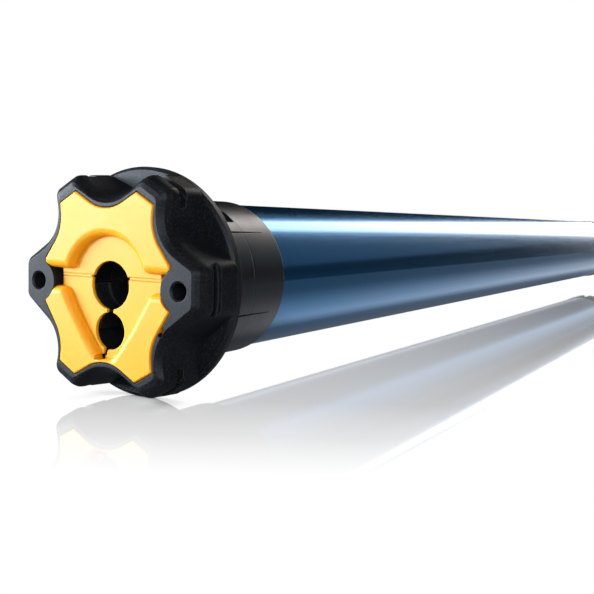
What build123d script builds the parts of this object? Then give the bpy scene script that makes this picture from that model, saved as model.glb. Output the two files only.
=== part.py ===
from build123d import *
import math
import os

# Roller shutter motor: a tubular drive that is screwed to a wall bracket by its star-shaped head.
# Frame: the origin is the middle of the head's front face, +Y runs along the tube to the drive
# wheel, +Z is up and +X is to the right when the face is looked at. Millimetres throughout.

os.makedirs("parts", exist_ok=True)

# Driving dimensions
SCREW_X = 24.0  # bracket screw holes, left and right of the axis
SCREW_R = 2.2
TUBE_R = 22.5
TUBE_WALL = 0.9
BORE_R = TUBE_R - TUBE_WALL
FIT = 0.05  # how much smaller than the bore a piece inside the tube is
RUN = 0.06  # radial running clearance of a shaft or sleeve

HEAD_DEPTH = 13.9  # star block, front to back
COVER_PROUD = 0.4  # the cover stands this far in front of the lip
COVER_BACK = 3.9
RECESS_FLOOR = 2.1
PIN_R = 6.4  # upper hole, for the bracket's pin
INLET_R = 5.0  # lower hole, for the supply plug
INLET_Z = -12.1

FLANGE_R = 31.7
FLANGE_Y0, FLANGE_Y1 = 14.2, 17.6
COLLAR_R = 23.5
COLLAR_STEP_Y = 35.6
COLLAR_END = 51.9
NECK_R = 21.5
TUBE_Y0 = 52.3
PLUG_END = 76.0

# Stations along the tube
Y_BOARD = 80.0
Y_CAPACITOR = 241.0
Y_MOTOR = 325.0
Y_BRAKE = 445.0
Y_GEARS = 471.0
Y_TAIL = 547.0
TUBE_Y1 = 575.0
SHAFT_END = 605.0

# Gears
MODULE = 0.7
SUN_TEETH, PLANET_TEETH, RING_TEETH = 12, 21, 54
PLANET_AT = MODULE * (SUN_TEETH + PLANET_TEETH) / 2
ENCODER_MODULE = 0.55
CROWN_TEETH, PINION_TEETH = 80, 16
PINION_AT = ENCODER_MODULE * (CROWN_TEETH - PINION_TEETH) / 2

parts = {}


def facing(y, x=0.0, z=0.0):
    """A plane across the axis, seen from the front: its x is to the right and its y is up."""
    return Plane(origin=(x, y, z), x_dir=(1, 0, 0), z_dir=(0, -1, 0))


def prism(sketch, y0, y1, x=0.0, z=0.0):
    """A sketch on a facing plane, stretched from y0 to y1."""
    return extrude(facing(y1, x, z) * sketch, y1 - y0)


def rod(r, y0, y1, x=0.0, z=0.0):
    return prism(Circle(r), y0, y1, x, z)


def pipe(outer, inner, y0, y1, x=0.0, z=0.0):
    return prism(Circle(outer) - Circle(inner), y0, y1, x, z)


def box(x0, x1, y0, y1, z0, z1):
    return Pos((x0 + x1) / 2, (y0 + y1) / 2, (z0 + z1) / 2) * Box(x1 - x0, y1 - y0, z1 - z0)


def turned(*profile):
    """A solid turned about the Y axis from (radius, y) points."""
    return revolve(make_face(Polyline(*profile, close=True)), Axis.Y)


def round_y(shape, degrees):
    """Turn a shape about the Y axis, from +X towards +Z."""
    return Rot(0, -degrees, 0) * shape


def polar(r, degrees):
    return r * math.cos(math.radians(degrees)), r * math.sin(math.radians(degrees))


def edges_at(shape, y, most_r=99.0, least_r=0.0):
    """The edges that lie in the plane at y and within a ring about the axis."""
    flat = shape.edges().filter_by_position(Axis.Y, y - 0.01, y + 0.01)
    return [e for e in flat if least_r < math.hypot(e.center().X, e.center().Z) < most_r]


# The star outline


def touching(point, centre, rho):
    """Where the line from a point touches a circle, on the side nearer the origin."""
    dx, dy = point[0] - centre[0], point[1] - centre[1]
    towards, half = math.atan2(dy, dx), math.acos(rho / math.hypot(dx, dy))
    ends = [
        (centre[0] + rho * math.cos(a), centre[1] + rho * math.sin(a))
        for a in (towards + half, towards - half)
    ]
    return min(ends, key=lambda p: math.hypot(*p))


def valley(start, end, r, degrees, rho):
    """The hollow between two lobes: a straight flank, an arc of radius rho and a flank."""
    x, z = polar(r + rho, degrees)
    a, b = touching(start, (x, z), rho), touching(end, (x, z), rho)
    dx, dz = a[0] + b[0] - 2 * x, a[1] + b[1] - 2 * z
    reach = rho / math.hypot(dx, dz)
    return [Line(start, a), ThreePointArc(a, (x + reach * dx, z + reach * dz), b), Line(b, end)]


def star(lobe_d, lobe_w, side, top_r, waist_r, waist_at, rho, flare=0.0, corner=0.0):
    """Six lobes: four with flat tips at 60 degrees to the horizontal, and one on each side.
    The four are wider by the flare on the flank that faces a side lobe. Corner rounds the tips."""
    x, up, down = side
    waist_rho = rho - 1.9 * flare
    along, across, wide = polar(lobe_d, 60), polar(lobe_w, 150), polar(lobe_w + flare, 150)
    inner = (along[0] + across[0], along[1] + across[1])
    outer = (along[0] - wide[0], along[1] - wide[1])
    flip = lambda p: (-p[0], p[1])
    drop = lambda p: (p[0], -p[1])
    both = lambda p: (-p[0], -p[1])
    hi, lo = (x, up), (x, -down)
    edges = valley(hi, outer, waist_r, waist_at, waist_rho) + [Line(outer, inner)]
    edges += valley(inner, flip(inner), top_r, 90, rho) + [Line(flip(inner), flip(outer))]
    edges += valley(flip(outer), flip(hi), waist_r, 180 - waist_at, waist_rho)
    edges += [Line(flip(hi), flip(lo))]
    edges += valley(flip(lo), both(outer), waist_r, 180 + waist_at, waist_rho)
    edges += [Line(both(outer), both(inner))]
    edges += valley(both(inner), drop(inner), top_r, 270, rho) + [Line(drop(inner), drop(outer))]
    edges += valley(drop(outer), lo, waist_r, -waist_at, waist_rho) + [Line(lo, hi)]
    shape = make_face(Wire(edges))
    corners = inner, outer, hi, (x, down)
    tips = [v for v in shape.vertices()
            if min(math.dist((abs(v.X), abs(v.Y)), p) for p in corners) < 0.01]
    return fillet(tips, corner) if corner else shape


def head_section(y, lobe, side, hollow, waist, corner):
    """The head's outline at y: how far its lobes, its side lobes, the hollows at top and bottom
    and the four waists stand outside the lip."""
    spread = 0.35 * side
    shape = star(28.0 + lobe, 3.0 + 0.3 * lobe, (28.0 + side, 5.0 + spread, 4.0 + spread),
                 21.4 + hollow, 22.1 + waist, 33.0, 12.5 - 0.6 * hollow, 0.3 * lobe, corner)
    return facing(y) * shape


cover_outline = star(26.31, 3.16, (21.2, 6.2, 5.5), 20.2, 20.8, 33.0, 11.5)
screw_spots = [(-SCREW_X, 0.0), (SCREW_X, 0.0)]


def spots(sketch, places=screw_spots):
    return Sketch() + [Pos(*p) * sketch for p in places]


# Gear teeth


def teeth(count, module, above, below, backlash, steps=4):
    """An outline with involute teeth, one of them on +X. A negative backlash gives the space
    of an internal gear."""
    pitch = module * count / 2
    base = pitch * math.cos(math.radians(20))
    inv = lambda r: math.tan(math.acos(base / r)) - math.acos(base / r) if r > base else 0.0
    low, high = pitch - below * module, pitch + above * module
    half = math.pi / (2 * count) - backlash / (2 * pitch) + inv(pitch)
    flank = [low + (high - low) * i / steps for i in range(steps + 1)]
    points = []
    for tooth in range(count):
        middle = 2 * math.pi * tooth / count
        for r, side in [(r, -1) for r in flank] + [(r, 1) for r in reversed(flank)]:
            a = middle + side * (half - inv(r))
            points.append((r * math.cos(a), r * math.sin(a)))
    return make_face(Polyline(*points, close=True))


GEAR = dict(module=MODULE, above=0.8, below=1.1, backlash=0.16)
sun_teeth = teeth(SUN_TEETH, **GEAR)
planet_teeth = teeth(PLANET_TEETH, **GEAR)
ring_space = teeth(RING_TEETH, MODULE, above=1.1, below=0.8, backlash=-0.16)

# Head: a star block that is screwed to the bracket, with a neck that the crown turns on

sections = [
    (0, 0, 0, 0, 0, 1.8), (0.5, 1.3, 0.6, 0.4, 0.6, 2.0), (1.5, 2.5, 1.5, 1.05, 1.5, 2.4),
    (3.2, 3.35, 2.4, 1.7, 2.3, 2.8), (4.0, 3.5, 2.7, 1.95, 2.5, 2.9), (HEAD_DEPTH, 3.9, 4.2, 4.2, 4.2, 3.4),
]
head = loft([head_section(*s) for s in sections], ruled=True)
head += turned(
    (0, 13), (NECK_R - 0.6, 13), (NECK_R - 0.6, 18), (NECK_R, 18.3), (NECK_R, 25),
    (NECK_R - 0.3, 25.3), (NECK_R - 0.3, 39), (NECK_R, 39.3), (NECK_R, 46.2),
    (NECK_R - 0.4, 46.4), (NECK_R - 0.4, 51.9), (NECK_R, 52.1), (NECK_R, PLUG_END - 1),
    (NECK_R - 1, PLUG_END), (0, PLUG_END),
)
pocket = star(26.56, 3.3, (21.5, 6.5, 5.8), 20.45, 21.05, 33.0, 11.3) - spots(Circle(5.7))
head -= prism(pocket, -1, COVER_BACK + 0.1)
head -= prism(spots(Circle(SCREW_R)), -1, 12.5)
for x, z in screw_spots:
    head -= Pos(x, 0, z) * turned((0, -1), (SCREW_R + 0.45, -1), (SCREW_R + 0.45, 0), (0, 2.6))
head -= pipe(34, 30.5, 5.3, 8.1)  # shallow groove across the six lobes, with a deep slot in each
slots = [(0, -6.3, 6.3), (60, -6.8, 3), (120, -3, 6.8), (180, -6.3, 6.3), (240, -6.8, 3), (300, -3, 6.8)]
for a, low, high in slots:
    head -= round_y(box(27.7, 35, 5.7, 7.8, low, high), a)
head -= prism(Rot(0, 0, 63.5) * SlotOverall(2.6, 1.1), -1, 3, 18.75, -10.7)  # to pry the cover out

# chambers behind the cover: a cradle under the pin, a roof over the plug, a web between them
half_disc = Circle(10.5) & Pos(0, 11) * Rectangle(22, 22)
low_disc = Circle(7.4) & Pos(0, -5) * Rectangle(16, 10)
head -= rod(PIN_R + 0.5, 3, 9) + rod(PIN_R, 3, 16)
head -= prism(half_disc, 3, 14)
head -= rod(INLET_R + 0.2, 3, 21, z=INLET_Z) + prism(low_disc, 3, 19, z=INLET_Z)
head -= box(-1.15, 1.15, 3, 12, -8, -5)
head -= rod(6.4, 20, 27, z=INLET_Z)

# hollow neck, with a bulkhead that carries the counting wheel in its window
head -= rod(18.6, 26, 46.6) + rod(18.6, 54.6, PLUG_END + 1)
head -= rod(18.6, 46, 51.2) & box(-9, 9, 46, 52, -19, 19)
head -= rod(18.6, 46, 56) & box(-9, 9, 46, 56, -19, 6)
head -= rod(ENCODER_MODULE * (PINION_TEETH / 2 + 1) + 0.5, 46.6, 51.2, z=PINION_AT)
head -= rod(1.5 + RUN, 51, 55, z=PINION_AT) + rod(3.4, 54.6, 60, z=PINION_AT)
for a in (150, 210):
    head -= round_y(Pos(20, 64, 0) * Rot(0, 90, 0) * Cylinder(1.2, 8), a)
parts["head_housing"] = head

# Yellow cover, let into the head

right = [
    Line((25, 3.8), (13.72, 3.8)), ThreePointArc((13.72, 3.8), (12.61, 4.13), (11.88, 5.02)),
    ThreePointArc((11.88, 5.02), (9.12, 9.12), (0, 12.9)),
    ThreePointArc((0, -18.9), (1.55, -18.67), (3, -18)),
    ThreePointArc((3, -18), (9.05, -9.85), (13.79, -2.25)),
    ThreePointArc((13.79, -2.25), (14.7, -1.335), (15.95, -1)),
    Line((15.95, -1), (25, -1)), Line((25, -1), (25, 3.8)),
]
recess = make_face(right + [mirror(e, Plane.YZ) for e in right])
outline = fillet([v for v in cover_outline.vertices() if math.hypot(v.X, v.Y) > 26], 0.6)
cover = prism(outline, -COVER_PROUD, COVER_BACK)
cover = chamfer(edges_at(cover, -COVER_PROUD), 0.3)
rim = edges_at(cover, -COVER_PROUD)
cover -= prism(recess, -1, RECESS_FLOOR)
inner = [e for e in edges_at(cover, -COVER_PROUD) if abs(e.center().X) < 20]
inner = [e for e in inner if min((e.center() - r.center()).length for r in rim) > 0.01]
cover = fillet(inner, 2.2)
cover -= prism(spots(Circle(5.9)), -1, 5)
cover -= prism(spots(Rectangle(4, 4.8), [(-18.9, 1.4), (18.9, 1.4)]), -1, 5)
cover -= rod(12.6, RECESS_FLOOR + 1, 5) + rod(7.6, RECESS_FLOOR + 1, 5, z=INLET_Z)
cover -= rod(PIN_R, -1, 5) + rod(INLET_R, -1, 5, z=INLET_Z)
cover -= box(-1.15, 1.15, 0, 5, -8, -5) + box(-6.6, 6.6, 0, 5, 1.7, 2.4)
slit = make_face(Polyline((0.2, -16.6), (-0.7, -17.4), (-1.1, -18.6), (-1.5, -18.8), (-1.5, -19.7),
                          (-3.5, -19.7), (-3.5, -18.7), (-2.4, -18.4), (-2.0, -16.4), close=True))
slit_mouth = make_face(Polyline((-3.5, -18.7), (-3.5, -19.7), (-1.5, -19.7), (0.6, -19.2), (1.4, -18.4),
                                (0, -17), close=True))
cover -= prism(slit, -1, 5) + prism(slit_mouth, -1, RECESS_FLOOR)
cover -= box(-5.5, -0.5, RECESS_FLOOR + 1, 5, -20.4, -17)
hairlines = spots(Rectangle(10.8, 0.25), [(x, z) for x in (-11.6, 11.6) for z in (1.65, 2.45)])
cover -= prism(hairlines, 1, RECESS_FLOOR + 0.2)
parts["face_cover"] = cover

# Supply socket, deep in the lower hole

socket = rod(6.3, 20.1, 34, z=INLET_Z) + (rod(8.2, 27.1, 29, z=INLET_Z) & rod(18.4, 27, 30))
socket -= rod(4.2, 20, 30, z=INLET_Z)
pin_spots = [(sx * 1.7, INLET_Z + sz * 1.7) for sx in (-1, 1) for sz in (-1, 1)]
pins = Part()
for x, z in pin_spots:
    socket -= rod(0.62, 29, 35, x, z)
    pins += rod(0.6, 24, 37, x, z)
parts["cable_socket"] = socket
parts["contact_pins"] = pins

# Crown: a free ring that the roller tube turns, and that turns the counting wheel inside

crown = turned(
    (NECK_R + RUN, FLANGE_Y0), (FLANGE_R - 0.9, FLANGE_Y0), (FLANGE_R, FLANGE_Y0 + 0.7),
    (FLANGE_R, FLANGE_Y1 - 0.9), (FLANGE_R - 0.7, FLANGE_Y1), (COLLAR_R + 0.8, FLANGE_Y1),
    (COLLAR_R, FLANGE_Y1 + 0.8), (COLLAR_R, COLLAR_STEP_Y), (COLLAR_R - 0.15, COLLAR_STEP_Y + 0.15),
    (COLLAR_R - 0.1, COLLAR_STEP_Y + 0.75), (COLLAR_R - 0.1, COLLAR_END - 0.4),
    (COLLAR_R - 0.4, COLLAR_END), (NECK_R + RUN, COLLAR_END),
)
crown_space = teeth(CROWN_TEETH, ENCODER_MODULE, above=1.0, below=0.72, backlash=-0.1, steps=3)
crown -= prism(crown_space, 47.2, COLLAR_END + 1)
sliver = Plane(origin=(COLLAR_R - 0.8, 0, 0), x_dir=(0, 1, 0), z_dir=(1, 0, 0)) * make_face(
    Polyline((FLANGE_Y1 + 0.8, -0.35), (46, -0.08), (46, 0.08), (FLANGE_Y1 + 0.8, 0.35), close=True))
for a in range(-22, 338, 60):
    crown -= round_y(extrude(sliver, 2), a)
for a in (53.2, 233.2):
    crown -= round_y(box(COLLAR_R - 1, COLLAR_R + 1, FLANGE_Y1 + 0.8, COLLAR_STEP_Y, -2.4, 2.4), a)
parts["crown"] = crown

pinion = prism(teeth(PINION_TEETH, ENCODER_MODULE, 0.75, 1.0, 0.1, 3), 47.3, 50.9)
parts["encoder_pinion"] = Pos(0, 0, PINION_AT) * (round_y(pinion, 90) + rod(1.5, 47.3, 58.9))
parts["encoder_magnet"] = pipe(3.0, 1.5, 55.2, 58.9, z=PINION_AT)

# Tube that holds everything together, and the screws at its two ends

tube = pipe(TUBE_R, BORE_R, TUBE_Y0, TUBE_Y1)
tube = chamfer(edges_at(tube, TUBE_Y0, least_r=TUBE_R - 0.1), 0.25)
fixings = {"head_screws": (64, (150, 210)), "tail_screws": (561, (45, 135, 225, 315))}
for name, (y, places) in fixings.items():
    screws = Part()
    for a in places:
        tube -= round_y(Pos(TUBE_R, y, 0) * Rot(0, 90, 0) * Cylinder(1.7, 6), a)
        screw = turned((0, TUBE_R - 7), (1.15, TUBE_R - 7), (1.15, BORE_R), (1.6, BORE_R),
                       (1.6, TUBE_R + 0.02), (2.9, TUBE_R + 0.02), (2.6, TUBE_R + 0.45),
                       (1.6, TUBE_R + 0.7), (0, TUBE_R + 0.7))
        screw -= Pos(0, TUBE_R + 0.6, 0) * (Box(3.2, 1.2, 0.6) + Box(0.6, 1.2, 3.2))
        screws += round_y(Pos(0, y, 0) * Rot(0, 0, -90) * screw, a)
    parts[name] = screws
parts["motor_tube"] = tube

# Control electronics on a tray

IN_R = BORE_R - FIT
BOARD_Z = -3.0
length = Y_CAPACITOR - Y_BOARD - 12
tray = pipe(IN_R, IN_R - 1.6, Y_BOARD, Y_BOARD + length)
tray &= box(-22, 22, 0, 400, -22, BOARD_Z + 3)
for y in (Y_BOARD, Y_BOARD + length - 3):
    rim = pipe(IN_R, IN_R - 2.4, y, y + 3) + (rod(IN_R, y, y + 3) & box(-22, 22, 0, 400, -22, -12))
    tray += rim
for x in (-19.6, 17.4):
    rail = box(x, x + 2.2, Y_BOARD, Y_BOARD + length, BOARD_Z - 6, BOARD_Z)
    tray += rail & rod(IN_R - 1, Y_BOARD, Y_BOARD + length)
tray -= box(-1.2, 1.2, Y_BOARD - 1, Y_BOARD + length + 1, -15, -11.9)
parts["board_tray"] = tray

board = box(-19.0, 19.0, Y_BOARD + 4, Y_BOARD + length - 4, BOARD_Z, BOARD_Z + 1.6)
for y in (Y_BOARD + 9, Y_BOARD + length - 9):
    for x in (-16, 16):
        board -= Pos(x, y, BOARD_Z) * Cylinder(1.6, 8)
parts["control_board"] = board
TOP = BOARD_Z + 1.6


def on_board(x, y, dx, dy, dz, bevel=0.6):
    """A boxy component that stands on the board, y from the board's front end."""
    body = Pos(x, Y_BOARD + 4 + y, TOP + dz / 2) * Box(dx, dy, dz)
    return chamfer(body.edges().group_by(Axis.Z)[-1], bevel)


parts["board_header"] = on_board(0, 6, 22, 9, 8)
parts["varistor"] = Pos(-11, Y_BOARD + 22, TOP + 6.2) * Rot(90, 0, 0) * (
    Cylinder(5.6, 3.4) + Pos(0, -5.6, 0) * Box(6, 1.2, 1.2))
parts["power_transformer"] = on_board(4, 30, 17, 20, 15) + on_board(4, 30, 21, 8, 12)
drums = Part()
for x, y, r, h in ((-11, 35, 4.0, 13), (-12, 46, 3.2, 11), (12, 48, 3.2, 11)):
    drums += Pos(x, Y_BOARD + 4 + y, TOP + h / 2) * Cylinder(r, h)
parts["filter_capacitors"] = drums
parts["processor_chip"] = on_board(0, 64, 12, 12, 1.8, 0.3)
parts["relay_up"] = on_board(-8.5, 86, 11, 20, 15.5)
parts["relay_down"] = on_board(8.5, 86, 11, 20, 15.5)
parts["radio_module"] = on_board(0, 112, 24, 14, 1.2, 0.2) + on_board(-4, 112, 12, 11, 3.4, 0.4)
parts["sensor_board"] = (rod(18.0, 61.5, 63.0) & box(-8, 8, 60, 64, 0, 18.2)) + box(
    -1.5, 1.5, 60.3, 61.5, PINION_AT - 4, PINION_AT - 1)

# Wires: four from the socket to the board, three on to the motor, all in straight runs


def wire(points, radius=5.0, r=0.85):
    """Round wire along points: straight runs, joined at each corner by a tangent arc."""
    points = [Vector(*p) for p in points]
    edges, start = [], points[0]
    for before, corner, after in zip(points, points[1:], points[2:]):
        back, on = (before - corner).normalized(), (after - corner).normalized()
        half = math.acos(max(-1.0, back.dot(on))) / 2
        cut = radius / math.tan(half)
        middle = (back + on).normalized() * (radius / math.sin(half) - radius)
        enter, leave = corner + back * cut, corner + on * cut
        edges += [Line(start, enter), ThreePointArc(enter, corner + middle, leave)]
        start = leave
    path = Wire(edges + [Line(start, points[-1])])
    return sweep(Plane(origin=path @ 0, z_dir=path % 0) * Circle(r), path=path)


supply = Part()
for i, (x, z) in enumerate(pin_spots):
    lane = -7.5 + 5 * i
    supply += wire([(x, 37.0, z), (x, 43.0, z), (lane, 56.0, -5.0), (lane, 70.0, -5.0),
                    (lane, 80.0, 2.0), (lane, Y_BOARD + 5.5, 2.0)])
parts["supply_wires"] = supply
leads = Part()
for x in (-5.5, 0.0, 5.5):
    leads += wire([(x, Y_BOARD + 121.5, 2.0), (x, Y_BOARD + 128, 2.0), (x, Y_CAPACITOR - 6, 18.9),
                   (x, Y_MOTOR + 13, 18.9)])
parts["motor_leads"] = leads

# Run capacitor between two rings

can = rod(15, Y_CAPACITOR, Y_CAPACITOR + 74)
can = fillet(can.edges(), 1.2)
for x in (-6, 6):
    can += box(x - 3.2, x + 3.2, Y_CAPACITOR + 73.5, Y_CAPACITOR + 79, -0.4, 0.4)
parts["run_capacitor"] = can
rings = Part()
for y in (Y_CAPACITOR + 6, Y_CAPACITOR + 60):
    ring = pipe(IN_R, 15.03, y, y + 8)
    rings += ring - box(-8, 8, y - 1, y + 9, 15.5, 22)
parts["capacitor_rings"] = rings

# Motor

STACK_R = 11.2  # stator bore
front_y, stack_y, rear_y = Y_MOTOR, Y_MOTOR + 24, Y_MOTOR + 110
STACK = 70.0
lead_gap = box(-8, 8, 0, 500, 17.4, 22)
shield = turned(
    (7, front_y + 1), (9.5, front_y), (12, front_y), (12, front_y + 4), (IN_R, front_y + 5),
    (IN_R, front_y + 9), (IN_R - 1.8, front_y + 9), (IN_R - 1.8, stack_y - 2),
    (IN_R - 3.2, stack_y - 2), (IN_R - 3.2, front_y + 8), (7, front_y + 8),
)
parts["front_shield"] = shield - lead_gap
parts["front_bearing"] = pipe(7, 3 + RUN, front_y + 1, front_y + 8)
parts["rear_shield"] = turned(
    (7, rear_y), (IN_R - 2, rear_y), (IN_R - 2, rear_y - 5), (IN_R, rear_y - 5), (IN_R, rear_y + 5),
    (12, rear_y + 6), (11, rear_y + 8), (7, rear_y + 8),
)
parts["rear_bearing"] = pipe(7, 4 + RUN, rear_y, rear_y + 8)

slot = make_face(Polyline((12.6, -1.4), (17.6, -2.7), (17.6, 2.7), (12.6, 1.4), close=True))
coil_bar = make_face(Polyline((12.9, -1.2), (17.3, -2.4), (17.3, 2.4), (12.9, 1.2), close=True))
stack = Circle(IN_R) - Circle(STACK_R)
bars = Sketch()
for a in range(0, 360, 30):
    stack -= Rot(0, 0, a) * slot
    bars += Rot(0, 0, a) * coil_bar
parts["stator_core"] = prism(stack, stack_y, stack_y + STACK)
windings = prism(bars, stack_y - 3, stack_y + STACK + 3)
for y in (stack_y - 10, stack_y + STACK + 1):
    windings += fillet(pipe(17.3, 12.4, y, y + 9).edges(), 2.2)
parts["stator_windings"] = windings

parts["rotor_core"] = pipe(STACK_R - 0.3, 5, stack_y - 1, stack_y + STACK + 1)
shaft = turned(
    (0, front_y - 1), (2.7, front_y - 1), (3, front_y - 0.6), (3, front_y + 10), (5, front_y + 10),
    (5, rear_y - 3), (4, rear_y - 3), (4, Y_GEARS + 4), (0, Y_GEARS + 4),
)
parts["rotor_shaft"] = shaft

# Brake: the spring holds the armature against the disc until the coil draws it forward

yoke = turned(
    (9, Y_BRAKE), (IN_R, Y_BRAKE), (IN_R, Y_BRAKE + 16), (19, Y_BRAKE + 16), (19, Y_BRAKE + 3),
    (10.6, Y_BRAKE + 3), (10.6, Y_BRAKE + 16), (9, Y_BRAKE + 16), (9, Y_BRAKE + 1.6),
    (5, Y_BRAKE + 1.6), (5, Y_BRAKE),
)
parts["brake_yoke"] = yoke
parts["brake_coil"] = fillet(pipe(18.6, 10.9, Y_BRAKE + 3.1, Y_BRAKE + 15).edges(), 0.8)
parts["brake_armature"] = pipe(18.8, 5.2, Y_BRAKE + 16.5, Y_BRAKE + 19.5)
parts["brake_disc"] = pipe(17.5, 7, Y_BRAKE + 19.6, Y_BRAKE + 22.6) + pipe(
    7, 4, Y_BRAKE + 19.6, Y_BRAKE + 25)
parts["brake_lining"] = pipe(18.5, 9, Y_BRAKE + 23.2, Y_BRAKE + 26)
wind = Helix(pitch=2.6, height=13.0, radius=7.4)
coil = sweep(Plane(origin=wind @ 0, z_dir=wind % 0) * Circle(0.6), path=wind)
coil_y = Y_BRAKE + 2.5
parts["brake_spring"] = Pos(0, coil_y, 0) * Rot(-90, 0, 0) * coil

# Three-stage planetary gearbox

parts["gearbox_plate"] = pipe(IN_R, 5.2, Y_GEARS, Y_GEARS + 6)
STAGES = [(Y_GEARS + 8, 12), (Y_GEARS + 28, 14), (Y_GEARS + 50, 17)]  # planets: start and width
parts["gearbox_ring"] = prism(Circle(IN_R) - ring_space, Y_GEARS + 6, Y_TAIL)
parts["sun_gear_1"] = prism(sun_teeth, Y_GEARS + 4, STAGES[0][0] + 12.5)
for n, (y, width) in enumerate(STAGES, 1):
    rear = y + width
    carrier = pipe(16.6, 7, rear + 0.6, rear + 4.4) if n < 3 else pipe(16.6, 7, rear + 0.6, rear + 5)
    for i, spot in enumerate(("a", "b", "c")):
        x, z = polar(PLANET_AT, 120 * i)
        gear = prism(planet_teeth - Circle(2 + RUN), y, rear)
        parts[f"planet_{n}{spot}"] = Pos(x, 0, z) * round_y(gear, 120 * i)
        carrier += rod(2, y - 0.4, rear + 1, x, z)
    if n < 3:
        carrier += rod(7, rear + 0.6, rear + 4.4)
        carrier += prism(sun_teeth, rear + 4, STAGES[n][0] + STAGES[n][1] - 0.5)
    parts[f"carrier_{n}"] = carrier

# Tail: bearing housing, output shaft and drive wheel

OUT_R = 7.0
plate_end = STAGES[2][0] + STAGES[2][1] + 5
housing = turned(
    (10, Y_TAIL), (IN_R, Y_TAIL), (IN_R, TUBE_Y1), (TUBE_R, TUBE_Y1), (TUBE_R, TUBE_Y1 + 2.4),
    (TUBE_R - 0.6, TUBE_Y1 + 3), (10, TUBE_Y1 + 3),
)
parts["tail_housing"] = housing - Part() - [
    round_y(Pos(18, 561, 0) * Rot(0, 90, 0) * Cylinder(1.2, 8), a) for a in (45, 135, 225, 315)]
parts["output_bearing"] = pipe(10, OUT_R + RUN, Y_TAIL + 2, TUBE_Y1 + 3)
flat = box(-9, 9, TUBE_Y1 + 4, SHAFT_END + 1, OUT_R - 1.4, 9)
output = rod(OUT_R, plate_end - 4.4, SHAFT_END) - flat
output = chamfer(edges_at(output, SHAFT_END), 0.6)
output -= pipe(9, OUT_R - 0.7, 602.0, 603.3)
parts["output_shaft"] = output

WHEEL_Y0, WHEEL_Y1, WHEEL_R = 581.0, 601.0, 23.0
wheel = pipe(WHEEL_R, WHEEL_R - 2.6, WHEEL_Y0, WHEEL_Y1) + pipe(10.5, OUT_R, WHEEL_Y0, WHEEL_Y1)
wheel += pipe(WHEEL_R - 1, 9, WHEEL_Y0 + 8, WHEEL_Y0 + 11)
for a in range(0, 360, 45):
    wheel += round_y(box(10, WHEEL_R - 2, WHEEL_Y0, WHEEL_Y1, -1, 1), a + 22.5)
for a in range(0, 360, 90):
    wheel -= round_y(box(WHEEL_R - 1.3, WHEEL_R + 1, WHEEL_Y0 - 1, WHEEL_Y1 + 1, -2.2, 2.2), a)
wheel = chamfer(edges_at(wheel, WHEEL_Y1, least_r=WHEEL_R - 0.2), 0.5)
parts["drive_wheel"] = wheel + (rod(OUT_R, WHEEL_Y0, WHEEL_Y1) & flat)
clip = pipe(9.2, OUT_R - 0.68, 602.05, 603.25) - box(-3.6, 3.6, 600, 605, 0, 12)
parts["wheel_clip"] = clip

for name, shape in parts.items():
    export_step(shape, f"parts/{name}.step")
    print(name, round(shape.volume, 1), len(shape.solids()), shape.is_valid)
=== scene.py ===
import math

import bpy
from mathutils import Matrix, Vector


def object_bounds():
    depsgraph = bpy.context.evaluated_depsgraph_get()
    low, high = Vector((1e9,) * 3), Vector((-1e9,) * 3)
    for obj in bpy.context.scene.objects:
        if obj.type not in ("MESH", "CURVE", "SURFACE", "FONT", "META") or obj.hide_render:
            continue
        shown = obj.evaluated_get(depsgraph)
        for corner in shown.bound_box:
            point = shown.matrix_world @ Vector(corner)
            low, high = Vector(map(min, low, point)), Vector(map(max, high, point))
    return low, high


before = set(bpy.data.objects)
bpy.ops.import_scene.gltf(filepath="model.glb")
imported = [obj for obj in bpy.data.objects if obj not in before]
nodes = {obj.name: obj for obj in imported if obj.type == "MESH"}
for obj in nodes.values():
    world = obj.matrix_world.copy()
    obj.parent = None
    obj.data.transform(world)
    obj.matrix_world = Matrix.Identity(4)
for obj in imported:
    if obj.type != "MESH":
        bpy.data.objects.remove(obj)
cad_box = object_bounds()
scene = bpy.context.scene

# ---------------------------------------------------------------- camera

CAMERA_AT = Vector((0.155350, -0.168561, 0.019000))
RIGHT = Vector((0.86396, 0.50279, 0.02807))
UP = Vector((-0.07014, 0.06497, 0.99542))
AHEAD = Vector((-0.49866, 0.86197, -0.09140))
LENS_MM, SENSOR_MM = 52.28, 36
NEAREST, FARTHEST = 0.005, 100

camera = bpy.data.objects.new("camera", bpy.data.cameras.new("camera"))
scene.collection.objects.link(camera)
camera.matrix_world = Matrix((RIGHT, UP, -AHEAD)).transposed().to_4x4()
camera.matrix_world.translation = CAMERA_AT
camera.data.lens, camera.data.sensor_width = LENS_MM, SENSOR_MM
camera.data.clip_start, camera.data.clip_end = NEAREST, FARTHEST
scene.camera = camera
scene.view_settings.view_transform = "Standard"
scene.view_settings.look = "None"
bpy.context.view_layer.update()


# ---------------------------------------------------------------- node-writing helpers

MM = 1e-3
MICRON = 1e-6


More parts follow.
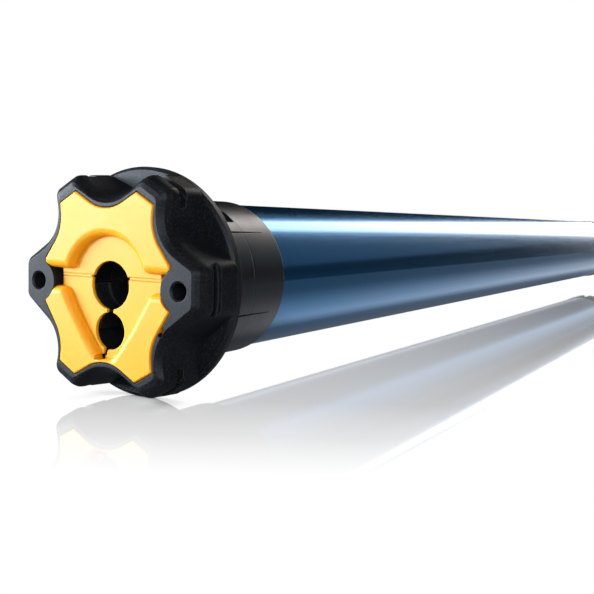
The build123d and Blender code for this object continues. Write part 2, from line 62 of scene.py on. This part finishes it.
class Tree:
    """A node tree that is written by calls. add returns the new node, the other calls return an output."""

    def __init__(self, tree):
        self.tree = tree
        tree.nodes.clear()

    def add(self, kind, inputs=None, **settings):
        made = self.tree.nodes.new(kind)
        for key, value in settings.items():
            setattr(made, key, value)
        for key, value in (inputs or {}).items():
            socket = made.inputs[key]
            if isinstance(value, bpy.types.NodeSocket):
                self.tree.links.new(value, socket)
            else:
                socket.default_value = value
        return made

    def place(self):
        return self.add("ShaderNodeTexCoord").outputs["Object"]

    def noise(self, at, scale, detail, rough, stretch=None, distortion=0.0):
        if stretch:
            at = self.add("ShaderNodeMapping", {"Vector": at, "Scale": stretch}).outputs[0]
        made = self.add("ShaderNodeTexNoise", {"Vector": at, "Scale": scale, "Detail": detail,
                                               "Roughness": rough, "Distortion": distortion})
        return made.outputs["Fac"]

    def ramp(self, value, stops):
        """Grey ramp: stops are (position, grey)."""
        made = self.add("ShaderNodeValToRGB", {"Fac": value})
        marks = made.color_ramp.elements
        while len(marks) < len(stops):
            marks.new(0.5)
        for mark, (at, grey) in zip(marks, stops):
            mark.position = at
            mark.color = colour4(grey)
        return made.outputs["Color"]

    def spread(self, value, low, high, from_low=0.0, from_high=1.0):
        """from_low becomes low and from_high becomes high, straight between them and held beyond them."""
        made = self.add("ShaderNodeMapRange", {"Value": value, "From Min": from_low, "From Max": from_high,
                                               "To Min": low, "To Max": high})
        return made.outputs["Result"]

    def between(self, value, start, end):
        """0 up to start, 1 from end on."""
        return self.spread(value, 0.0, 1.0, start, end)

    def maths(self, operation, a, b=0.0, clamp=False):
        return self.add("ShaderNodeMath", {0: a, 1: b}, operation=operation, use_clamp=clamp).outputs[0]

    def plus(self, a, b):
        return self.maths("ADD", a, b)

    def times(self, a, b):
        return self.maths("MULTIPLY", a, b)

    def mix(self, factor, a, b):
        """Colour a where factor is 0 and b where it is 1. Inputs 6 and 7 and output 2 are its colours."""
        a, b = (c if isinstance(c, bpy.types.NodeSocket) else colour4(c) for c in (a, b))
        return self.add("ShaderNodeMix", {0: factor, 6: a, 7: b}, data_type="RGBA").outputs[2]

    def bump(self, height, strength, depth, normal=None):
        inputs = {"Height": height, "Strength": strength, "Distance": depth}
        if normal is not None:
            inputs["Normal"] = normal
        return self.add("ShaderNodeBump", inputs).outputs["Normal"]

    def round_edges(self, radius):
        return self.add("ShaderNodeBevel", {"Radius": radius}, samples=6).outputs["Normal"]

    def edge_mask(self, radius):
        """1 along edges and 0 on open faces, from how far a bevelled normal leaves the real one."""
        bevel = self.round_edges(radius)
        real = self.add("ShaderNodeNewGeometry").outputs["Normal"]
        dot = self.add("ShaderNodeVectorMath", {0: bevel, 1: real}, operation="DOT_PRODUCT").outputs["Value"]
        return self.spread(dot, 1.0, 0.0, 0.86, 0.995)


def colour4(colour):
    """Grey number or (red, green, blue) as an opaque colour."""
    return (colour, colour, colour, 1.0) if isinstance(colour, (int, float)) else (*colour, 1.0)


def scaled(colour, factor, lift=0.0):
    """Lighter or darker tone of a colour."""
    return [min(1, c * factor + lift) for c in colour]


def blank_material(name):
    made = bpy.data.materials.new(name)
    made.use_nodes = True
    return made, Tree(made.node_tree)


def material(name):
    """A new material, its tree and its Principled shader."""
    made, tree = blank_material(name)
    shader = tree.add("ShaderNodeBsdfPrincipled")
    tree.add("ShaderNodeOutputMaterial", {"Surface": shader.outputs[0]})
    return made, tree, shader


def finish_shader(tree, shader, **sockets):
    """Sets or links shader inputs, named in lower case with underscores."""
    for key, value in sockets.items():
        socket = shader.inputs[key.replace("_", " ").title().replace("Ior", "IOR")]
        if isinstance(value, bpy.types.NodeSocket):
            tree.tree.links.new(value, socket)
        elif socket.type == "RGBA":
            socket.default_value = colour4(value)
        else:
            socket.default_value = value


# ---------------------------------------------------------------- materials

def textured_plastic(name, dark, light, rough,
                     grain=220 * MICRON, depth=30 * MICRON, edge=200 * MICRON, wear=0.35):
    """Moulded plastic with a spark-eroded skin, faint cloudy patches, light scuffs and rubbed edges."""
    made, t, shader = material(name)
    at = t.place()
    skin = t.noise(at, 1 / grain, detail=2.0, rough=0.5)
    clouds = t.noise(at, 160, detail=4.0, rough=0.6)
    marks = t.noise(at, 420, detail=6.0, rough=0.75, stretch=(1.0, 0.35, 1.0))
    marks = t.ramp(marks, [(0.60, 0.0), (0.72, 1.0)])
    colour = t.mix(t.between(clouds, 0.35, 0.7), dark, light)
    colour = t.mix(t.spread(skin, 0.0, 0.25, 0.45, 0.75), colour, scaled(light, 1.9, 0.01))
    rubbed = t.times(t.edge_mask(edge * 2.2), t.spread(clouds, 0.2, 1.0, 0.35, 0.65))
    colour = t.mix(t.times(rubbed, wear), colour, scaled(light, 3.2, 0.02))
    roughness = t.plus(t.spread(clouds, rough - 0.05, rough + 0.06, 0.3, 0.7), t.times(marks, 0.08))
    normal = t.bump(skin, strength=0.55, depth=depth, normal=t.round_edges(edge))
    finish_shader(t, shader, base_color=colour, roughness=roughness, normal=normal)
    return made


def satin_plastic(name, dark, light, rough):
    """Smooth moulded plastic: slight ripple of the mould, hairline scuffs, soft edges."""
    made, t, shader = material(name)
    at = t.place()
    ripple = t.noise(at, 700, detail=3.0, rough=0.5)
    clouds = t.noise(at, 90, detail=4.0, rough=0.55)
    hair = t.noise(at, 500, detail=5.0, rough=0.7, stretch=(3.0, 0.15, 3.0))
    hair = t.ramp(hair, [(0.58, 0.0), (0.70, 1.0)])
    colour = t.mix(t.between(clouds, 0.3, 0.7), dark, light)
    colour = t.mix(t.times(t.edge_mask(400 * MICRON), 0.1), colour, scaled(light, 1.6, 0.02))
    roughness = t.plus(t.spread(clouds, rough - 0.04, rough + 0.04, 0.3, 0.7), t.times(hair, 0.05))
    normal = t.bump(ripple, strength=0.35, depth=12 * MICRON, normal=t.round_edges(200 * MICRON))
    finish_shader(t, shader, base_color=colour, roughness=roughness, normal=normal)
    return made


def black_nylon(name, skin_until=None):
    """Black glass-filled nylon with a coarse spark-eroded skin that sparkles a little. Past skin_until,
    measured along the tube, it is smooth and satin."""
    made, t, shader = material(name)
    at = t.place()
    skin = t.noise(at, 2300, detail=2.5, rough=0.6)
    clouds = t.noise(at, 120, detail=4.0, rough=0.6)
    roughness = t.spread(clouds, 0.29, 0.37, 0.3, 0.7)
    rougher, relief, skin_specular, smooth_specular = 0.12, 0.75, 0.26, 0.84
    if skin_until is None:
        textured = 1.0
        roughness, strength, specular = t.plus(roughness, rougher), relief, skin_specular
    else:
        point = t.add("ShaderNodeNewGeometry").outputs["Position"]
        along = t.add("ShaderNodeSeparateXYZ", {"Vector": point}).outputs["Y"]
        textured = t.spread(along, 1.0, 0.0, skin_until, skin_until + 0.4 * MM)
        roughness = t.plus(roughness, t.times(textured, rougher))
        strength = t.times(textured, relief)
        specular = t.spread(textured, smooth_specular, skin_specular)
    colour = t.mix(t.between(clouds, 0.35, 0.7), (0.0055, 0.006, 0.0072), (0.009, 0.0098, 0.012))
    speck = t.times(t.spread(skin, 0.0, 0.9, 0.5, 0.72), textured)
    colour = t.mix(speck, colour, (0.030, 0.033, 0.040))
    rubbed = t.times(t.edge_mask(500 * MICRON), t.spread(clouds, 0.25, 1.0, 0.35, 0.65))
    colour = t.mix(t.times(rubbed, 0.5), colour, (0.055, 0.06, 0.07))
    grain = t.bump(skin, strength=strength, depth=60 * MICRON, normal=t.round_edges(300 * MICRON))
    finish_shader(t, shader, base_color=colour, roughness=roughness, normal=grain,
                  specular_ior_level=specular, specular_tint=(0.78, 0.88, 1.0))
    return made


def yellow_plastic(name):
    """Warm yellow moulding: very fine skin, faint flow clouds, and painted shade of deeper orange in its
    recesses.
    """
    made, t, shader = material(name)
    at = t.place()
    skin = t.noise(at, 2600, detail=2.0, rough=0.5)
    flow = t.noise(at, 70, detail=4.0, rough=0.55, distortion=0.6)
    colour = t.mix(t.between(flow, 0.3, 0.7), (0.95, 0.42, 0.009), (0.99, 0.45, 0.014))
    speck = t.ramp(t.noise(at, 900, detail=4.0, rough=0.7), [(0.66, 0.0), (0.74, 1.0)])
    colour = t.mix(t.times(speck, 0.12), colour, (0.78, 0.36, 0.015))
    # painted shade: ambient occlusion tints recesses and corners deeper orange, standing in for their shade
    # and bounced light
    painted_shade_ao = t.add("ShaderNodeAmbientOcclusion", {"Distance": 4 * MM}, samples=6).outputs["AO"]
    colour = t.mix(t.spread(painted_shade_ao, 0.55, 0.0, 0.35, 0.95), colour, (0.99, 0.37, 0.001))
    roughness = t.spread(flow, 0.36, 0.46, 0.3, 0.7)
    normal = t.bump(skin, strength=0.30, depth=20 * MICRON, normal=t.round_edges(250 * MICRON))
    finish_shader(t, shader, base_color=colour, roughness=roughness, normal=normal, specular_ior_level=0.42,
                  subsurface_weight=0.5, subsurface_radius=(1.0, 0.40, 0.05), subsurface_scale=2.6 * MM)
    return made


def blue_tube(name):
    """Blue metallic lacquer on drawn steel tube: flake, long draw lines, clear coat with orange peel."""
    made, t, shader = material(name)
    at = t.place()
    flake = t.noise(at, 9000, detail=1.0, rough=0.5)
    lines = t.noise(at, 900, detail=3.0, rough=0.6, stretch=(1.0, 0.01, 1.0))
    clouds = t.noise(at, 25, detail=3.0, rough=0.5)
    colour = t.mix(t.between(flake, 0.35, 0.7), (0.020, 0.150, 0.35), (0.034, 0.20, 0.45))
    colour = t.mix(t.spread(clouds, 0.0, 0.25, 0.3, 0.7), colour, (0.018, 0.14, 0.34))
    hair = t.noise(at, 380, detail=6.0, rough=0.8, stretch=(2.0, 0.05, 2.0))
    hair = t.ramp(hair, [(0.64, 0.0), (0.70, 1.0)])
    roughness = t.plus(t.spread(lines, 0.20, 0.25, 0.3, 0.7), t.times(hair, 0.03))
    normal = t.bump(lines, strength=0.07, depth=10 * MICRON)
    peel = t.bump(t.noise(at, 450, detail=2.0, rough=0.5), strength=0.05, depth=40 * MICRON)
    finish_shader(t, shader, base_color=colour, metallic=0.85, roughness=roughness, normal=normal,
                  specular_tint=(0.80, 0.91, 1.0), coat_weight=0.36, coat_roughness=0.09, coat_ior=1.5,
                  coat_normal=peel)
    return made


def machined_metal(name, dark, light, rough, rings=True, tarnish=None):
    """Turned metal with tool lines round the axis, or ground metal with lines along it; light staining."""
    made, t, shader = material(name)
    at = t.place()
    stretch = (0.05, 1.0, 0.05) if rings else (1.0, 0.03, 1.0)
    lines = t.noise(at, 6000, detail=2.0, rough=0.6, stretch=stretch)
    stain = t.noise(at, 220, detail=5.0, rough=0.6)
    colour = t.mix(t.between(lines, 0.3, 0.7), dark, light)
    if tarnish:
        colour = t.mix(t.ramp(stain, [(0.5, 0.0), (0.75, 0.6)]), colour, tarnish)
    colour = t.mix(t.times(t.edge_mask(300 * MICRON), 0.5), colour, scaled(light, 1.25))
    roughness = t.spread(stain, rough - 0.06, rough + 0.10, 0.3, 0.7)
    normal = t.bump(lines, strength=0.25, depth=10 * MICRON, normal=t.round_edges(80 * MICRON))
    finish_shader(t, shader, base_color=colour, metallic=1.0, roughness=roughness, normal=normal)
    return made


def cast_metal(name, dark, light, rough=0.5):
    """Die-cast or sintered metal: granular skin with small pores."""
    made, t, shader = material(name)
    at = t.place()
    grain = t.noise(at, 2600, detail=4.0, rough=0.65)
    pores = t.add("ShaderNodeTexVoronoi", {"Vector": at, "Scale": 1500.0}).outputs["Distance"]
    pores = t.ramp(pores, [(0.10, 0.0), (0.22, 1.0)])
    colour = t.mix(t.between(grain, 0.3, 0.7), dark, light)
    colour = t.mix(t.times(t.maths("SUBTRACT", 1.0, pores), 0.5), colour, scaled(dark, 0.4))
    roughness = t.spread(grain, rough - 0.08, rough + 0.1)
    normal = t.bump(t.plus(grain, pores), strength=0.5, depth=30 * MICRON, normal=t.round_edges(100 * MICRON))
    finish_shader(t, shader, base_color=colour, metallic=0.9, roughness=roughness, normal=normal)
    return made


def laminated_steel(name):
    """Stack of stamped sheets, seen on edge as fine stripes along the tube's axis."""
    made, t, shader = material(name)
    at = t.place()
    along = t.add("ShaderNodeSeparateXYZ", {"Vector": at}).outputs["Y"]
    half_sheet = 0.25 * MM
    stripe = t.times(t.maths("PINGPONG", along, half_sheet), 1 / half_sheet)
    stripe = t.ramp(stripe, [(0.08, 0.0), (0.35, 1.0)])
    rust = t.ramp(t.noise(at, 500, detail=6.0, rough=0.7), [(0.55, 0.0), (0.75, 1.0)])
    colour = t.mix(stripe, (0.06, 0.055, 0.05), (0.36, 0.36, 0.37))
    colour = t.mix(t.times(rust, 0.3), colour, (0.16, 0.08, 0.04))
    finish_shader(t, shader, base_color=colour, metallic=0.85, roughness=t.spread(rust, 0.38, 0.62),
                  normal=t.bump(stripe, strength=0.6, depth=60 * MICRON))
    return made


def enamelled_copper(name):
    """Wound copper wire under varnish: strands side by side, with a glossy coat."""
    made, t, shader = material(name)
    at = t.place()
    strands = t.add("ShaderNodeTexWave", {"Vector": at, "Scale": 900.0, "Distortion": 1.5, "Detail": 2.0},
                    wave_type="BANDS", bands_direction="Z").outputs["Fac"]
    clouds = t.noise(at, 260, detail=4.0, rough=0.6)
    colour = t.mix(strands, (0.20, 0.045, 0.012), (0.72, 0.27, 0.085))
    colour = t.mix(t.spread(clouds, 0.0, 0.4, 0.4, 0.7), colour, (0.40, 0.12, 0.03))
    normal = t.bump(strands, strength=0.7, depth=80 * MICRON)
    finish_shader(t, shader, base_color=colour, metallic=0.75, roughness=t.spread(clouds, 0.25, 0.42),
                  normal=normal, coat_weight=0.6, coat_roughness=0.2)
    return made


def circuit_board(name):
    """Green solder mask over copper runs, with tinned pads on a 2.54 mm grid."""
    made, t, shader = material(name)
    at = t.place()
    tracks = t.add("ShaderNodeTexBrick", {"Vector": at, "Scale": 180.0, "Mortar Size": 0.09, "Bias": 0.0,
                                          "Brick Width": 0.9, "Row Height": 0.35}).outputs["Fac"]
    pads_per_metre = 393.7
    pads = t.add("ShaderNodeTexVoronoi", {"Vector": at, "Scale": pads_per_metre, "Randomness": 0.15})
    pads = t.ramp(pads.outputs["Distance"], [(0.20, 1.0), (0.24, 0.0)])
    weave = t.noise(at, 1500, detail=3.0, rough=0.6)
    colour = t.mix(tracks, (0.010, 0.085, 0.035), (0.022, 0.17, 0.07))
    colour = t.mix(t.spread(weave, 0.0, 0.3, 0.4, 0.7), colour, (0.03, 0.12, 0.05))
    colour = t.mix(t.times(pads, 0.8), colour, (0.62, 0.60, 0.56))
    finish_shader(t, shader, base_color=colour, roughness=t.spread(weave, 0.25, 0.42),
                  normal=t.bump(t.plus(tracks, pads), strength=0.4, depth=40 * MICRON))
    return made


def moulded_part(name, colour, rough=0.45):
    """Small moulded or dipped component in one colour, with cloudy tone and a fine skin."""
    return textured_plastic(name, scaled(colour, 0.82), colour, rough,
                            grain=300 * MICRON, depth=20 * MICRON, edge=150 * MICRON, wear=0.15)


def spring_steel(name):
    return machined_metal(name, (0.42, 0.43, 0.45), (0.66, 0.67, 0.69), 0.28, rings=False,
                          tarnish=(0.30, 0.24, 0.2))


FINISHES = {    # one finish for each node; SHARED adds those that several nodes have
    "head_housing": black_nylon("textured_black_nylon"),
    "face_cover": yellow_plastic("yellow_moulding"),
    "crown": black_nylon("satin_black_crown", skin_until=17.8 * MM),
    "motor_tube": blue_tube("blue_lacquered_tube"),
    "drive_wheel": textured_plastic("black_wheel_nylon", (0.014, 0.014, 0.015), (0.024, 0.024, 0.026), 0.42),
    "cable_socket": moulded_part("black_socket", (0.03, 0.03, 0.033)),
    "contact_pins": machined_metal("tinned_brass", (0.62, 0.58, 0.48), (0.80, 0.76, 0.66), 0.22),
    "encoder_pinion": satin_plastic("white_acetal", (0.70, 0.69, 0.64), (0.78, 0.77, 0.72), 0.34),
    "encoder_magnet": cast_metal("bonded_ferrite", (0.03, 0.03, 0.032), (0.06, 0.06, 0.064), 0.55),
    "board_tray": moulded_part("natural_nylon", (0.74, 0.72, 0.66)),
    "board_header": moulded_part("green_header", (0.05, 0.22, 0.09)),
    "varistor": moulded_part("blue_disc", (0.05, 0.16, 0.50), 0.3),
    "power_transformer": moulded_part("yellow_tape", (0.72, 0.52, 0.06), 0.35),
    "filter_capacitors": satin_plastic("black_sleeve", (0.02, 0.02, 0.03), (0.04, 0.04, 0.06), 0.25),
    "processor_chip": moulded_part("black_epoxy", (0.02, 0.02, 0.021), 0.5),
    "radio_module": machined_metal("tinned_shield", (0.60, 0.61, 0.62), (0.76, 0.77, 0.78), 0.3, rings=False),
    "supply_wires": satin_plastic("brown_silicone", (0.16, 0.05, 0.025), (0.22, 0.07, 0.035), 0.42),
    "motor_leads": satin_plastic("blue_silicone", (0.03, 0.10, 0.34), (0.04, 0.14, 0.42), 0.42),
    "run_capacitor": machined_metal("drawn_aluminium", (0.66, 0.67, 0.68), (0.82, 0.83, 0.84), 0.26,
                                    rings=False),
    "capacitor_rings": moulded_part("white_rings", (0.72, 0.71, 0.68)),
    "gearbox_ring": cast_metal("sintered_ring", (0.26, 0.26, 0.27), (0.44, 0.44, 0.45)),
    "rotor_shaft": machined_metal("ground_steel", (0.50, 0.51, 0.53), (0.70, 0.71, 0.73), 0.2),
    "output_shaft": machined_metal("bright_bar", (0.46, 0.47, 0.49), (0.68, 0.69, 0.71), 0.26),
    "wheel_clip": spring_steel("blued_clip"),
    "brake_spring": spring_steel("spring_wire"),
    "brake_lining": cast_metal("friction_lining", (0.06, 0.05, 0.045), (0.13, 0.11, 0.10), 0.75),
    "brake_disc": cast_metal("brake_disc_iron", (0.16, 0.15, 0.15), (0.28, 0.27, 0.27), 0.5),
}
SHARED = [
    (circuit_board("green_board"), ("control_board", "sensor_board")),
    (moulded_part("blue_relay", (0.05, 0.13, 0.38), 0.3), ("relay_up", "relay_down")),
    (cast_metal("cast_aluminium", (0.42, 0.42, 0.43), (0.66, 0.66, 0.67), 0.42),
     ("front_shield", "rear_shield", "tail_housing", "gearbox_plate")),
    (cast_metal("sintered_bronze", (0.32, 0.18, 0.07), (0.58, 0.36, 0.15), 0.42),
     ("front_bearing", "rear_bearing", "output_bearing")),
    (laminated_steel("laminated_steel"), ("stator_core", "rotor_core")),
    (enamelled_copper("enamelled_copper"), ("stator_windings", "brake_coil")),
    (machined_metal("zinc_plated", (0.55, 0.56, 0.57), (0.76, 0.77, 0.78), 0.3, tarnish=(0.5, 0.46, 0.3)),
     ("head_screws", "tail_screws")),
    (machined_metal("turned_steel", (0.40, 0.41, 0.43), (0.62, 0.63, 0.65), 0.3),
     ("brake_yoke", "brake_armature", "sun_gear_1")),
    (cast_metal("sintered_steel", (0.30, 0.30, 0.31), (0.50, 0.50, 0.51), 0.4),
     ("carrier_1", "carrier_2", "carrier_3", "planet_2a", "planet_2b", "planet_2c",
      "planet_3a", "planet_3b", "planet_3c")),
    (satin_plastic("white_planet_acetal", (0.72, 0.71, 0.66), (0.80, 0.79, 0.74), 0.34),
     ("planet_1a", "planet_1b", "planet_1c")),
]
for finish, members in SHARED:
    FINISHES.update(dict.fromkeys(members, finish))

for name, obj in nodes.items():
    obj.data.materials.clear()
    obj.data.materials.append(FINISHES[name])

# ---------------------------------------------------------------- floor, light and backdrop

WHITE = (1, 1, 1, 1)
FLOOR_Z = cad_box[0].z - 0.1 * MM
FLOOR_HALF = 5.5
CONTACT_REACH = 5 * MM
MIRROR_ROUGHNESS, MIRROR_GAIN, MIRROR_IOR = 0.035, 1.35, 1.5
TO_CAMERA_X, TO_CAMERA_Y = 0.5, 0.862     # how much x and -y count in the way to the camera
MIRROR_FULL_AT, MIRROR_GONE_AT = -0.05, 0.06
MIRROR_FULL_BESIDE, MIRROR_GONE_BESIDE = 0.09, 0.20
# the floor that the motor sees glows in a painted pool of light beside the tube, with painted shade under it
LIGHT_POOL_REACH = 0.12                        # the strips' ramp runs from the axis to here
LIGHT_POOL_DARK_UNTIL, LIGHT_POOL_FULL_FROM = 0.02, 0.10
SHELL_RADIUS, SHELL_FOOT = 8.0, 0.5
SHELL_RINGS, SHELL_SIDES = 12, 32


def staged_mesh(name, points, faces):
    mesh = bpy.data.meshes.new(name)
    mesh.from_pydata(points, [], faces)
    obj = bpy.data.objects.new(name, mesh)
    scene.collection.objects.link(obj)
    return obj


def floor_material():
    """The camera sees a white floor with a painted contact shadow, that mirrors the motor and fades to plain
    white. The motor sees a dim floor with a painted pool of light: a glowing band on either side of it,
    with painted shade under the tube and under the head."""
    made, t = blank_material("pale_floor")
    spot = t.add("ShaderNodeSeparateXYZ", {"Vector": t.place()}).outputs
    beside = t.maths("ABSOLUTE", spot["X"])

    # painted contact shadow: ambient occlusion darkens the floor's white glow where the motor stands on it
    painted_shade_ao = t.add("ShaderNodeAmbientOcclusion", {"Distance": CONTACT_REACH}, samples=10).outputs["AO"]
    shade = t.ramp(painted_shade_ao, [(0.0, 0.15), (0.3, 0.5), (0.6, 0.92), (0.85, 1.0)])
    white = t.add("ShaderNodeEmission", {"Color": shade, "Strength": 1.0})
    mirror = t.add("ShaderNodeBsdfGlossy", {"Color": WHITE, "Roughness": MIRROR_ROUGHNESS})
    forward = t.maths("SUBTRACT", t.times(spot["X"], TO_CAMERA_X), t.times(spot["Y"], TO_CAMERA_Y))
    forward = t.between(forward, MIRROR_FULL_AT, MIRROR_GONE_AT)
    fade = t.ramp(forward, [(0.0, 1.0), (0.35, 1.0), (0.7, 0.62), (0.97, 0.0)])
    fade = t.mix(t.between(beside, MIRROR_FULL_BESIDE, MIRROR_GONE_BESIDE), fade, 0.0)
    facing = t.add("ShaderNodeFresnel", {"IOR": MIRROR_IOR}).outputs[0]
    share = t.times(t.maths("MULTIPLY", facing, MIRROR_GAIN, clamp=True), fade)
    seen = t.add("ShaderNodeMixShader", {0: share, 1: white.outputs[0], 2: mirror.outputs[0]})

    matte = t.add("ShaderNodeBsdfDiffuse", {"Color": (0.11, 0.12, 0.13, 1)})
    # painted pool of light: glowing bands either side of the tube, with painted shadow under the tube and
    # under the head
    painted_light_strip = t.ramp(t.between(beside, 0.0, LIGHT_POOL_REACH),
                   [(0.12, 0.07), (0.19, 0.85), (0.25, 0.60), (0.42, 0.24), (0.58, 0.06), (0.75, 0.01)])
    painted_light_strip = t.mix(t.between(spot["Y"], LIGHT_POOL_DARK_UNTIL, LIGHT_POOL_FULL_FROM), 0.0, painted_light_strip)
    painted_light_strip = t.add("ShaderNodeEmission", {"Color": painted_light_strip, "Strength": 1.0})
    hidden = t.add("ShaderNodeAddShader", {0: matte.outputs[0], 1: painted_light_strip.outputs[0]})

    from_camera = t.add("ShaderNodeLightPath").outputs["Is Camera Ray"]
    both = t.add("ShaderNodeMixShader", {0: from_camera, 1: hidden.outputs[0], 2: seen.outputs[0]})
    t.add("ShaderNodeOutputMaterial", {"Surface": both.outputs[0]})
    return made


def white_material(name):
    made, t = blank_material(name)
    glow = t.add("ShaderNodeEmission", {"Color": WHITE, "Strength": 1.0})
    t.add("ShaderNodeOutputMaterial", {"Surface": glow.outputs[0]})
    made.cycles.emission_sampling = "NONE"
    return made


def dome_shell():
    """White shell that only the floor sees, so that the floor mirrors a white room."""
    points, faces = [], []
    for ring in range(SHELL_RINGS + 1):
        lift = math.pi / 2 * ring / SHELL_RINGS
        reach = SHELL_RADIUS * math.cos(lift)
        height = FLOOR_Z - SHELL_FOOT + (SHELL_RADIUS + SHELL_FOOT) * math.sin(lift)
        for k in range(SHELL_SIDES):
            turn = 2 * math.pi * k / SHELL_SIDES
            points.append((reach * math.cos(turn), reach * math.sin(turn), height))
    for low in range(0, SHELL_RINGS * SHELL_SIDES, SHELL_SIDES):
        high = low + SHELL_SIDES
        for k in range(SHELL_SIDES):
            n = (k + 1) % SHELL_SIDES
            faces.append((low + k, low + n, high + n, high + k))
    shell = staged_mesh("white_shell", points, faces)
    shell.data.materials.append(white_material("white_shell"))
    shell.visible_camera = shell.visible_shadow = False
    only_floor = bpy.data.collections.new("floor_only")
    only_floor.objects.link(floor)
    shell.light_linking.receiver_collection = only_floor


def studio_world():
    """White where the camera looks past the motor, and a dim cool fill for everything else."""
    world = bpy.data.worlds.new("studio")
    scene.world = world
    world.use_nodes = True
    w = Tree(world.node_tree)
    from_camera = w.add("ShaderNodeLightPath").outputs["Is Camera Ray"]
    dim = w.add("ShaderNodeBackground", {"Color": (0.90, 0.95, 1.0, 1), "Strength": 0.05})
    white = w.add("ShaderNodeBackground", {"Color": WHITE, "Strength": 1.0})
    sky = w.add("ShaderNodeMixShader", {0: from_camera, 1: dim.outputs[0], 2: white.outputs[0]})
    w.add("ShaderNodeOutputWorld", {"Surface": sky.outputs[0]})


def softbox(name, at, towards, size, watts, colour):
    light = bpy.data.lights.new(name, "AREA")
    light.shape = "RECTANGLE"
    light.size, light.size_y = size
    light.energy = watts
    light.color = colour
    obj = bpy.data.objects.new(name, light)
    scene.collection.objects.link(obj)
    at, towards = Vector(at), Vector(towards)
    obj.matrix_world = Matrix.Translation(at) @ (towards - at).to_track_quat("-Z", "Y").to_matrix().to_4x4()
    obj.visible_camera = False


floor = staged_mesh("floor", [(x * FLOOR_HALF, y * FLOOR_HALF, FLOOR_Z)
                              for x, y in ((-1, -1), (1, -1), (1, 1), (-1, 1))], [(0, 1, 2, 3)])
floor.data.materials.append(floor_material())
dome_shell()
studio_world()
softbox("key_front_left", at=(-1.144, -0.715, 0.238), towards=(0, 0, 0), size=(1.1, 0.6), watts=46,
        colour=(0.93, 0.965, 1.0))
softbox("back_overhead", at=(-0.02, 1.45, 0.60), towards=(0.0, 0.45, 0), size=(0.34, 1.6), watts=9,
        colour=(1.0, 0.91, 0.84))
softbox("back_right", at=(0.9, 2.1, 0.75), towards=(0, 0.3, 0), size=(1.0, 0.9), watts=0.6,
        colour=(0.65, 0.87, 1.0))
softbox("front_right", at=(0.8, -0.95, 0.35), towards=(0, 0, 0), size=(0.9, 0.9), watts=11, colour=(1, 1, 1))
